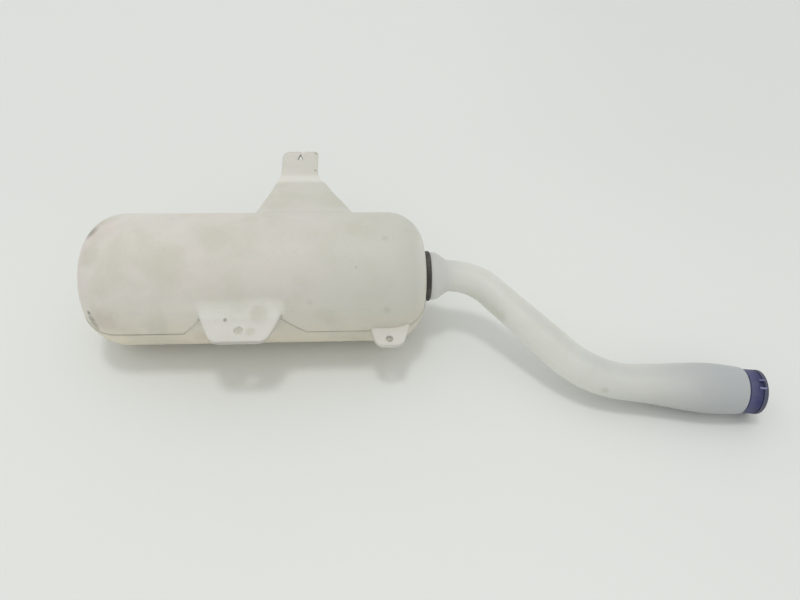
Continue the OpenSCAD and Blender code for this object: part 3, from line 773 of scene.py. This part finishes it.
def tube_tree(material):
    """A tube swept along a guide whose points carry their own radius."""
    tree = bpy.data.node_groups.new("swept_tube", "GeometryNodeTree")
    face = tree.interface
    face.new_socket("Geometry", in_out="INPUT", socket_type="NodeSocketGeometry")
    face.new_socket("Sides", in_out="INPUT", socket_type="NodeSocketInt")
    face.new_socket("Waviness", in_out="INPUT", socket_type="NodeSocketFloat")
    face.new_socket("Geometry", in_out="OUTPUT", socket_type="NodeSocketGeometry")
    link = tree.links.new

    def add(kind, **settings):
        made = tree.nodes.new(kind)
        for name, value in settings.items():
            setattr(made, name, value)
        return made

    def named(label):
        made = add("GeometryNodeInputNamedAttribute", data_type="FLOAT")
        made.inputs["Name"].default_value = label
        return made.outputs["Attribute"]

    def math_node(operation, first, second):
        made = add("ShaderNodeMath", operation=operation)
        for key, value in enumerate((first, second)):
            if isinstance(value, float):
                made.inputs[key].default_value = value
            else:
                link(value, made.inputs[key])
        return made.outputs[0]

    given = add("NodeGroupInput")
    curve = add("GeometryNodeMeshToCurve")
    link(given.outputs["Geometry"], curve.inputs["Mesh"])
    ripple = add("ShaderNodeTexNoise")
    ripple.inputs["Scale"].default_value = 22.0
    ripple.inputs["Detail"].default_value = 1.0
    swell = math_node("MULTIPLY", math_node("SUBTRACT", ripple.outputs[0], 0.5), 2.0)
    swell = math_node("MULTIPLY", math_node("MULTIPLY", swell, named("loose")), given.outputs["Waviness"])
    ring = add("GeometryNodeCurvePrimitiveCircle")
    ring.inputs["Radius"].default_value = 1.0
    link(given.outputs["Sides"], ring.inputs["Resolution"])
    sweep = add("GeometryNodeCurveToMesh")
    link(curve.outputs[0], sweep.inputs["Curve"])
    link(ring.outputs[0], sweep.inputs["Profile Curve"])
    link(math_node("ADD", named("tube_radius"), swell), sweep.inputs["Scale"])
    flip = add("GeometryNodeFlipFaces")
    link(sweep.outputs[0], flip.inputs["Mesh"])
    link(math_node("GREATER_THAN", named("inner"), 0.5), flip.inputs["Selection"])
    close = add("GeometryNodeMergeByDistance")
    close.inputs["Distance"].default_value = 0.02 * MM
    link(flip.outputs[0], close.inputs["Geometry"])
    smooth = add("GeometryNodeSetShadeSmooth")
    link(close.outputs[0], smooth.inputs["Geometry"])
    real = add("GeometryNodeRealizeInstances")
    link(smooth.outputs[0], real.inputs["Geometry"])
    paint = add("GeometryNodeSetMaterial")
    paint.inputs["Material"].default_value = material
    link(real.outputs[0], paint.inputs["Geometry"])
    result = add("NodeGroupOutput")
    link(paint.outputs[0], result.inputs["Geometry"])
    return tree


# Edges flatter than these are shaded as one surface
NECK_SMOOTH = math.radians(38)
CAP_SMOOTH = math.radians(40)


def swept_piece(name, guide, tree, values):
    """Runs a node tree on a guide and keeps the result as a plain mesh."""
    piece = bpy.data.objects.new(name, guide)
    bpy.context.scene.collection.objects.link(piece)
    modifier = piece.modifiers.new("Sweep", "NODES")
    modifier.node_group = tree
    for item in tree.interface.items_tree:
        if item.item_type == "SOCKET" and item.in_out == "INPUT" and item.name in values:
            modifier[item.identifier] = values[item.name]
    ready = piece.evaluated_get(bpy.context.evaluated_depsgraph_get())
    mesh = bpy.data.meshes.new_from_object(ready)
    piece.modifiers.remove(modifier)
    mesh.name = name
    piece.data = mesh
    bpy.data.meshes.remove(guide)
    if not mesh.polygons:
        raise RuntimeError(f"{name} came out empty")
    work = bmesh.new()
    work.from_mesh(mesh)
    if any(len(edge.link_faces) != 2 for edge in work.edges):
        raise RuntimeError(f"{name} isn't closed")
    if work.calc_volume(signed=True) < 0:
        bmesh.ops.reverse_faces(work, faces=work.faces)
        work.to_mesh(mesh)
    work.free()
    mesh.set_sharp_from_angle(angle=NECK_SMOOTH)
    return piece


class CapShape:
    """The push-on cap: a turned outline with two grip bars on its rim and a notch between them."""

    # Half the arc that holds the bars, and the turn from point to point inside and outside it, in degrees
    GRIP_ARC = 15
    FINE_TURN = 0.5
    COARSE_TURN = 3
    # Cosine of the widest turn at which a bar can stand, and the width of its soft flanks
    GRIP_LEVEL = 0.9
    FLANK = 0.35 * MM
    # How far the rear bar is rubbed, and how dark the notch's painted shade is
    REAR_RUB = 0.55
    NOTCH_PAINTED_SHADE = 0.5

    def __init__(self, size, neck):
        self.size = size
        self.middle = neck.at(neck.shoulder)
        self.out = Vector(frame["joints"][0]["axis"]).normalized()
        self.up = Vector((0, -math.sin(neck.dip), math.cos(neck.dip)))
        self.side = self.up.cross(self.out)
        self.end = size.gap + size.long
        self.groove = self.end - size.rim_t - size.groove_w

    def outline(self):
        """Rings from the dished top over rim, groove and skirt to the bore.

        Each ring has its station, its radius, how far it is rubbed, its share of painted shade, and its
        share of the rim grey, a painted reflection.
        """
        size, end, hair = self.size, self.end, 0.2 * MM
        land = size.rim_r - size.rounding - size.land
        deep = size.skirt_r - size.groove_d
        shoulder = end - size.rim_t
        dish = end - size.dish
        near = end - size.bar_in - size.bar_l - 4 * hair
        dark = size.gap + size.edge + MM
        rows = []

        def ring(x, r, rubbed, painted_recess_shade, rim):
            rows.append((x, r, rubbed, painted_recess_shade, rim))

        # Dish and land
        for i in range(1, 4):
            ring(dish, (land - size.dish) * i / 4, 0, 0.2, 0.3)
        ring(dish, land - size.dish - hair, 0, 0.4, 0.3)
        ring(dish + hair, land - size.dish, 0, 0.4, 0.3)
        ring(end - hair, land - hair, 0.3, 0, 0.7)
        ring(end, land, 0.4, 0, 0.8)
        for i in range(1, 4):
            ring(end, size.rim_r - size.rounding - size.land * (1 - i / 4), 0.2, 0, 1)
        # Rim with its rounded edge, greyed with painted reflection
        for i in range(9):
            t = math.pi / 16 * i
            x, r = end - size.rounding * (1 - math.cos(t)), size.rim_r - size.rounding * (1 - math.sin(t))
            ring(x, r, 0, 0.2, 1)
        for i in range(1, 10):
            ring(end - size.rounding - (size.rim_t - size.rounding - hair) * i / 9, size.rim_r, 0.1, 0, 1)
        # Groove, darkened with painted shade
        ring(shoulder, size.rim_r - hair, 0.1, 0.3, 0.6)
        ring(shoulder, deep + hair, 0, 1, 0)
        ring(shoulder - hair, deep, 0, 1, 0)
        for i in range(1, 4):
            ring(shoulder - size.groove_w * i / 4, deep, 0, 1, 0)
        ring(self.groove + hair, deep, 0, 1, 0)
        ring(self.groove, deep + hair, 0, 0.8, 0)
        ring(self.groove, size.skirt_r - hair, 0.1, 0.2, 0)
        # Skirt: painted shade beside the groove, greyer towards its open end with painted reflection and
        # wear, and a dark line of painted shade there
        for i in range(11):
            x = self.groove - hair - (self.groove - hair - near) * i / 10
            ring(x, size.skirt_r, 0, 0.72 - 0.36 * i / 10, 0)
        for i in range(1, 9):
            t = i / 8
            ring(near - (near - dark) * t, size.skirt_r, 0.38 * t, 0.36 * (1 - t), 0.4 * t)
        ring(dark - 0.4 * MM, size.skirt_r, 0, 0.5, 0.4)
        ring(size.gap + size.edge, size.skirt_r, 0, 0.65, 0.3)
        for i in range(1, 5):
            t = math.pi / 8 * i
            x, r = size.gap + size.edge * (1 - math.sin(t)), size.skirt_r - size.edge * (1 - math.cos(t))
            ring(x, r, 0, 1, 0)
        # Bore, dark with painted shade
        ring(size.gap, size.bore_r + hair, 0, 1, 0)
        ring(size.gap + hair, size.bore_r, 0, 1, 0)
        ring(end - size.top - hair, size.bore_r, 0, 1, 0)
        ring(end - size.top, size.bore_r - hair, 0, 1, 0)
        for i in (3, 2, 1):
            ring(end - size.top, size.bore_r * i / 4, 0, 1, 0)
        return rows

    def gripped(self, x, r, turned):
        """Radius, rubbed share and painted shade share where the bars stand up and the notch is cut."""
        size = self.size
        wide = abs(r * math.sin(turned))
        level = math.cos(turned)
        if level < self.GRIP_LEVEL or r < size.rim_r - size.rounding - size.land / 2:
            return r, 0, 0
        soft = self.FLANK
        bar = self.within(wide, size.bar_out - size.bar_w / 2, size.bar_out + size.bar_w / 2, soft)
        bar *= self.within(x, self.end - size.bar_in - size.bar_l, self.end - size.bar_in, soft)
        cut = self.within(wide, -MM, size.bar_out - size.bar_w / 2, soft)
        cut *= self.within(x, self.end - size.notch_in - size.notch_l, self.end - size.notch_in, soft)
        raised = r + max(0, (size.rim_r + size.bar_h) / level - r) * bar
        return raised - max(0, raised - (size.rim_r - size.notch_d) / level) * cut, bar, cut

    def within(self, value, low, high, soft):
        """1 between two ends, with soft flanks outside them."""
        over = max(low - value, value - high, 0) / soft
        return max(0, 1 - over)

    def mesh(self, name):
        size = self.size
        fine = int(2 * self.GRIP_ARC / self.FINE_TURN)
        coarse = int((360 - 2 * self.GRIP_ARC) / self.COARSE_TURN)
        turns = [math.radians(-self.GRIP_ARC + self.FINE_TURN * i) for i in range(fine + 1)]
        turns += [math.radians(self.GRIP_ARC + self.COARSE_TURN * i) for i in range(1, coarse)]
        rows = self.outline()
        points, marks = [], {"rubbed": [], "painted_recess_shade": [], "rim": []}
        for x, r, rubbed, painted_recess_shade, rim in rows:
            for turned in turns:
                outer = x > size.gap + size.edge and r > size.bore_r + MM
                radius, bar, cut = self.gripped(x, r, turned) if outer else (r, 0, 0)
                around = self.side * math.sin(turned) + self.up * math.cos(turned)
                points.append(self.middle + self.out * x + around * radius)
                # The front bar is rubbed the most
                rub = bar if turned < 0 else bar * self.REAR_RUB
                marks["rubbed"].append(max(rubbed, rub) * (1 - cut))
                marks["painted_recess_shade"].append(max(painted_recess_shade * (1 - bar), cut * self.NOTCH_PAINTED_SHADE))
                marks["rim"].append(rim)
        n, last = len(turns), len(rows) - 1
        faces = []
        for i in range(last):
            here, there = i * n, (i + 1) * n
            faces += [(here + j, here + (j + 1) % n, there + (j + 1) % n, there + j) for j in range(n)]
        for ring, x in ((0, self.end - size.dish), (last, self.end - size.top)):
            points.append(self.middle + self.out * x)
            for label in marks:
                marks[label].append(0.0)
            faces += [(len(points) - 1, ring * n + j, ring * n + (j + 1) % n) for j in range(n)]
        mesh = bpy.data.meshes.new(name)
        mesh.from_pydata(points, [], faces)
        set_marks(mesh, marks)
        return closed_mesh(mesh, CAP_SMOOTH)


def closed_mesh(mesh, smooth_under):
    """Turns a closed mesh's faces outwards and shades it smooth up to an angle."""
    work = bmesh.new()
    work.from_mesh(mesh)
    if any(len(edge.link_faces) != 2 for edge in work.edges):
        raise RuntimeError(f"{mesh.name} isn't closed")
    bmesh.ops.recalc_face_normals(work, faces=work.faces)
    if work.calc_volume(signed=True) < 0:
        bmesh.ops.reverse_faces(work, faces=work.faces)
    work.to_mesh(mesh)
    work.free()
    mesh.shade_smooth()
    mesh.set_sharp_from_angle(angle=smooth_under)
    return mesh


# Operators


class RESERVOIR_OT_tank(bpy.types.Operator):
    """Dress the blow-moulded tank with its tabs"""

    bl_idname = "reservoir.tank"
    bl_label = "Tank"

    def execute(self, context):
        size = context.scene.reservoir_tank
        piece = merged_copy("tank", "milky_tank", size.smooth)
        wear_material(piece, tank_look(size))
        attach(piece, "reservoir")
        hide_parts("tank")
        return {"FINISHED"}


class RESERVOIR_OT_neck(bpy.types.Operator):
    """Sweep the bent filler neck"""

    bl_idname = "reservoir.neck"
    bl_label = "Filler Neck"

    def execute(self, context):
        size = context.scene.reservoir_neck
        material = neck_look(size)
        tree = tube_tree(material)
        values = {"Sides": size.sides, "Waviness": size.waviness}
        piece = swept_piece("bent_filler_neck", NeckPath(size).guide("neck_guide"), tree, values)
        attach(piece, "reservoir")
        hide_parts("filler_neck")
        return {"FINISHED"}


class RESERVOIR_OT_rings(bpy.types.Operator):
    """Finish the rubber rings of the neck and the pump, and the seal in the cap"""

    bl_idname = "reservoir.rings"
    bl_label = "Rubber Rings"

    def execute(self, context):
        material = rubber_look(context.scene.reservoir_rubber)
        for node in ("neck_grommet", "pump_grommet", "cap_seal"):
            wear_material(frame["nodes"][node], material)
        return {"FINISHED"}


class RESERVOIR_OT_cap(bpy.types.Operator):
    """Turn the push-on cap with its grip bars"""

    bl_idname = "reservoir.cap"
    bl_label = "Cap"

    def execute(self, context):
        size = context.scene.reservoir_cap
        shape = CapShape(size, NeckPath(context.scene.reservoir_neck))
        piece = bpy.data.objects.new("push_on_cap", shape.mesh("push_on_cap"))
        context.scene.collection.objects.link(piece)
        wear_material(piece, cap_look(size))
        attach(piece, "cap")
        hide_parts("filler_cap")
        return {"FINISHED"}


# Stretches over which painted shade darkens the table, to the right and to the back
TABLE_SHADE_RIGHT = (0.05, 0.5)
TABLE_SHADE_BACK = (-0.05, 0.4)


def floor_look(size):
    """Plain pale table top with a faint, uneven tone, and painted shade that darkens it to the right and to
    the back.
    """
    material, look = new_look("pale_table")
    place = look.place()
    broad = look.noise(place, 2.2, 3.0, 0.5)
    fine = look.noise(place, 60.0, 3.0, 0.6)
    x, y = look.parts(place)[:2]
    dim, painted_shade_floor = [[c * level for c in size.floor] for level in (0.97, 0.92)]
    base = look.mix(look.step(broad, 0.3, 0.7) * 0.3, size.floor, dim)
    # Painted shade: the table darkens to the right and to the back
    fall = look.step(x, *TABLE_SHADE_RIGHT) * 0.55 + look.step(y, *TABLE_SHADE_BACK) * 0.45
    base = look.mix(fall, base, painted_shade_floor)
    look.finish(base, 0.62 + fine * 0.1, fine, 0.1 * MM, {"Specular IOR Level": 0.25})
    return material


def room_light(size):
    """Even light from all sides, seen as the floor's own pale tone."""
    world = bpy.data.worlds.new("room")
    world.use_nodes = True
    look = Look(world.node_tree)
    path = look.node("ShaderNodeLightPath", {}, {})
    rays = ("Is Camera Ray", "Is Glossy Ray", "Is Transmission Ray")
    seen = [Field(look, path.outputs[name]) for name in rays]
    light = look.field("ShaderNodeBackground", {}, {"Color": (1.0, 1.0, 0.99, 1.0), "Strength": size.sky})
    backdrop = look.field("ShaderNodeBackground", {}, {"Color": (*size.floor, 1.0), "Strength": 1.0})
    both = look.field("ShaderNodeMixShader", {}, {0: look.biggest(*seen), 1: light, 2: backdrop})
    look.node("ShaderNodeOutputWorld", {}, {"Surface": both})
    bpy.context.scene.world = world


class RESERVOIR_OT_stage(bpy.types.Operator):
    """Set the pale table, the soft light and the camera"""

    bl_idname = "reservoir.stage"
    bl_label = "Stage"

    def execute(self, context):
        size = context.scene.reservoir_stage
        scene = context.scene
        mesh = bpy.data.meshes.new("table_top")
        half = size.table / 2
        corners = [(-half, -half, 0), (half, -half, 0), (half, half, 0), (-half, half, 0)]
        mesh.from_pydata(corners, [], [(0, 1, 2, 3)])
        table = bpy.data.objects.new("table_top", mesh)
        scene.collection.objects.link(table)
        wear_material(table, floor_look(size))
        room_light(size)
        lamp = bpy.data.lights.new("overhead", "AREA")
        lamp.shape = "SQUARE"
        lamp.size = size.lamp_width
        lamp.energy = size.lamp
        held = bpy.data.objects.new("overhead", lamp)
        held.location = size.lamp_place
        held.rotation_euler = (-Vector(size.lamp_place)).to_track_quat("-Z", "Y").to_euler()
        scene.collection.objects.link(held)
        self.aim(scene, size)
        scene.view_settings.view_transform = "Standard"
        return {"FINISHED"}

    def aim(self, scene, size):
        """Sets the camera at its place, turned by its yaw, dip and roll."""
        level = math.cos(size.dip)
        ahead = Vector((math.sin(size.yaw) * level, math.cos(size.yaw) * level, -math.sin(size.dip)))
        right = Vector((math.cos(size.yaw), -math.sin(size.yaw), 0))
        top = right.cross(ahead)
        side = math.cos(size.roll) * right + math.sin(size.roll) * top
        upward = -math.sin(size.roll) * right + math.cos(size.roll) * top
        lens = bpy.data.cameras.new("camera")
        lens.sensor_width, lens.lens = 36.0, size.lens
        lens.clip_start, lens.clip_end = 0.01, 50.0
        camera = bpy.data.objects.new("camera", lens)
        turned = Matrix((side, upward, -ahead)).transposed().to_4x4()
        camera.matrix_world = Matrix.Translation(Vector(size.eye)) @ turned
        scene.collection.objects.link(camera)
        scene.camera = camera


class RESERVOIR_PT_panel(bpy.types.Panel):
    """Lists the steps that dress the reservoir, with their settings"""

    bl_idname = "RESERVOIR_PT_panel"
    bl_label = "Washer Fluid Reservoir"
    bl_space_type = "VIEW_3D"
    bl_region_type = "UI"
    bl_category = "Reservoir"

    def draw(self, context):
        for step, group in STEPS:
            box = self.layout.box()
            box.operator(step)
            settings = getattr(context.scene, group)
            for name in settings.__annotations__:
                box.prop(settings, name)


GROUPS = {
    "reservoir_tank": TankSettings,
    "reservoir_neck": NeckSettings,
    "reservoir_rubber": RubberSettings,
    "reservoir_cap": CapSettings,
    "reservoir_stage": StageSettings,
}
STEPS = (
    ("reservoir.tank", "reservoir_tank"),
    ("reservoir.neck", "reservoir_neck"),
    ("reservoir.rings", "reservoir_rubber"),
    ("reservoir.cap", "reservoir_cap"),
    ("reservoir.stage", "reservoir_stage"),
)
CLASSES = (
    *GROUPS.values(),
    RESERVOIR_OT_tank,
    RESERVOIR_OT_neck,
    RESERVOIR_OT_rings,
    RESERVOIR_OT_cap,
    RESERVOIR_OT_stage,
    RESERVOIR_PT_panel,
)


def register():
    for made in CLASSES:
        bpy.utils.register_class(made)
    for name, group in GROUPS.items():
        setattr(bpy.types.Scene, name, PointerProperty(type=group))


def unregister():
    for name in GROUPS:
        delattr(bpy.types.Scene, name)
    for made in reversed(CLASSES):
        bpy.utils.unregister_class(made)


def main():
    register()
    bpy.ops.reservoir.tank()
    bpy.ops.reservoir.neck()
    bpy.ops.reservoir.rings()
    bpy.ops.reservoir.cap()
    bpy.ops.reservoir.stage()


if __name__ == "__main__":
    main()
